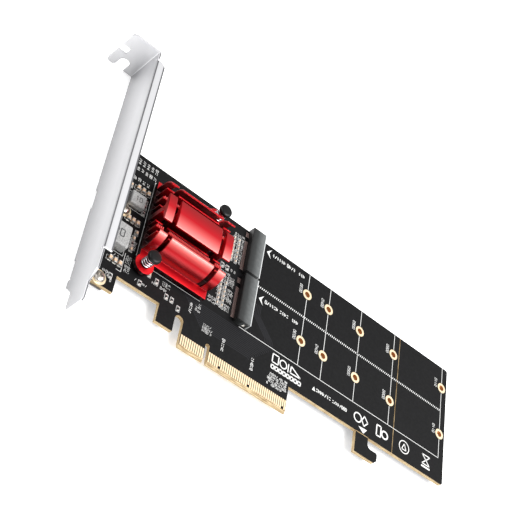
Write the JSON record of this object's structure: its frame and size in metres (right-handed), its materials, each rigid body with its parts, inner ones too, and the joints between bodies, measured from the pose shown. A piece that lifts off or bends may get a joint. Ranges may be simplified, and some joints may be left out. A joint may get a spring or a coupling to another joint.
{
  "type": "nvme adapter card",
  "caption": "Full-height expansion card that carries two M.2 drives on a long black board, with a folded bracket, an edge connector and a red finned heatsink.",
  "frame": {"origin": "centre line of the key notch, at the bottom edge of the connector tongue, midway through the board", "axes": "+X along the board away from the bracket, +Y up the bracket, +Z out of the component side"},
  "size_m": [0.1942, 0.1201, 0.0188],
  "materials": {
    "solder_mask_black": "satin black lacquer on glass laminate",
    "gold_plate": "gold plated copper",
    "bracket_steel": "pale satin plated steel",
    "screw_steel": "bright nickel",
    "red_anodised": "gloss red anodised",
    "pin_black": "black nylon",
    "spring_steel": "bright wire",
    "socket_plastic": "dark grey moulded",
    "tinned_metal": "tin plated",
    "chip_black": "moulded epoxy",
    "pad_grey": "soft silicone",
    "inductor_grey": "pressed iron powder",
    "ceramic_tan": "fired ceramic",
    "ceramic_black": "glazed film",
    "print_white": "white screen print"
  },
  "bodies": {
    "root": {"pcb": "solder_mask_black", "edge_contacts_front": "gold_plate", "edge_contacts_back": "gold_plate", "screw_hole_rings": "gold_plate", "bracket": "bracket_steel", "bracket_screws": "screw_steel", "heatsink": "red_anodised", "switch_chip": "chip_black", "thermal_pad": "pad_grey", "push_pin_lower": "pin_black", "push_pin_upper": "pin_black", "pin_spring_lower": "spring_steel", "pin_spring_upper": "spring_steel", "m2_socket_upper": "socket_plastic", "m2_socket_lower": "socket_plastic", "m2_contacts_upper": "tinned_metal", "m2_contacts_lower": "tinned_metal", "m2_hold_downs": "tinned_metal", "inductor_large": "inductor_grey", "inductor_small": "inductor_grey", "inductor_terminals": "tinned_metal", "regulator_chip": "chip_black", "clock_crystal": "tinned_metal", "memory_chip": "chip_black", "memory_leads": "tinned_metal", "capacitor_bodies": "ceramic_tan", "capacitor_ends": "tinned_metal", "resistor_bodies": "ceramic_black", "resistor_ends": "tinned_metal"}
  },
  "joints": []
}
